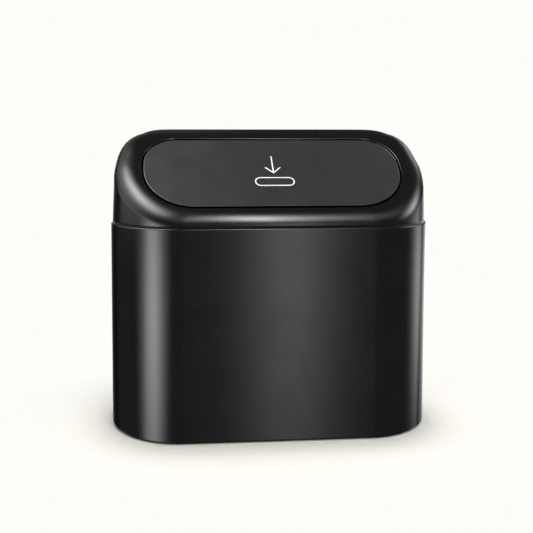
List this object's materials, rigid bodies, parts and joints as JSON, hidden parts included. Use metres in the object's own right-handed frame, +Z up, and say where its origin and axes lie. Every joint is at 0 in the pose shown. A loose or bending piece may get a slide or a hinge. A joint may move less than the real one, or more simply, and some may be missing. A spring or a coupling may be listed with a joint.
{
  "type": "car trash bin",
  "caption": "Flat stadium-shaped car bin in black plastic, with a lift-off lid and a sprung push flap in a sloping face.",
  "frame": {"origin": "middle of the footprint on the floor, under the foot pads", "axes": "+Z up, +X to the right when facing the flap, the flap slopes down towards -Y"},
  "size_m": [0.16, 0.07, 0.1485],
  "materials": {
    "satin_black": "satin moulded plastic",
    "matte_black": "fine matte texture",
    "frame_black": "plain moulded plastic",
    "pad_rubber": "matte rubber",
    "zinc_steel": "zinc plated",
    "spring_steel": "drawn wire"
  },
  "bodies": {
    "bin": {"bin_body": "satin_black", "foot_pad_front_left": "pad_rubber", "foot_pad_front_right": "pad_rubber", "foot_pad_rear_left": "pad_rubber", "foot_pad_rear_right": "pad_rubber"},
    "lid": {"lid_cover": "satin_black", "lid_frame": "frame_black", "frame_screw_1": "zinc_steel", "frame_screw_2": "zinc_steel", "frame_screw_3": "zinc_steel", "frame_screw_4": "zinc_steel", "frame_screw_5": "zinc_steel", "frame_screw_6": "zinc_steel", "hinge_pin_left": "spring_steel", "hinge_pin_right": "spring_steel", "torsion_spring_left": "spring_steel", "torsion_spring_right": "spring_steel"},
    "flap": {"push_flap": "matte_black"}
  },
  "joints": [
    {"name": "lid_lift", "type": "slide", "parent": "bin", "child": "lid", "axis": [0, 0, 1], "range_m": [0, 0.06]},
    {"name": "flap_hinge", "type": "hinge", "parent": "lid", "child": "flap", "pos_m": [0, 0.00447, 0.13673], "axis": [1, 0, 0], "range_deg": [0, 70], "stiffness_Nm_per_rad": 0.012, "springref_deg": -57.3, "deforming": ["torsion_spring_left", "torsion_spring_right"]}
  ]
}
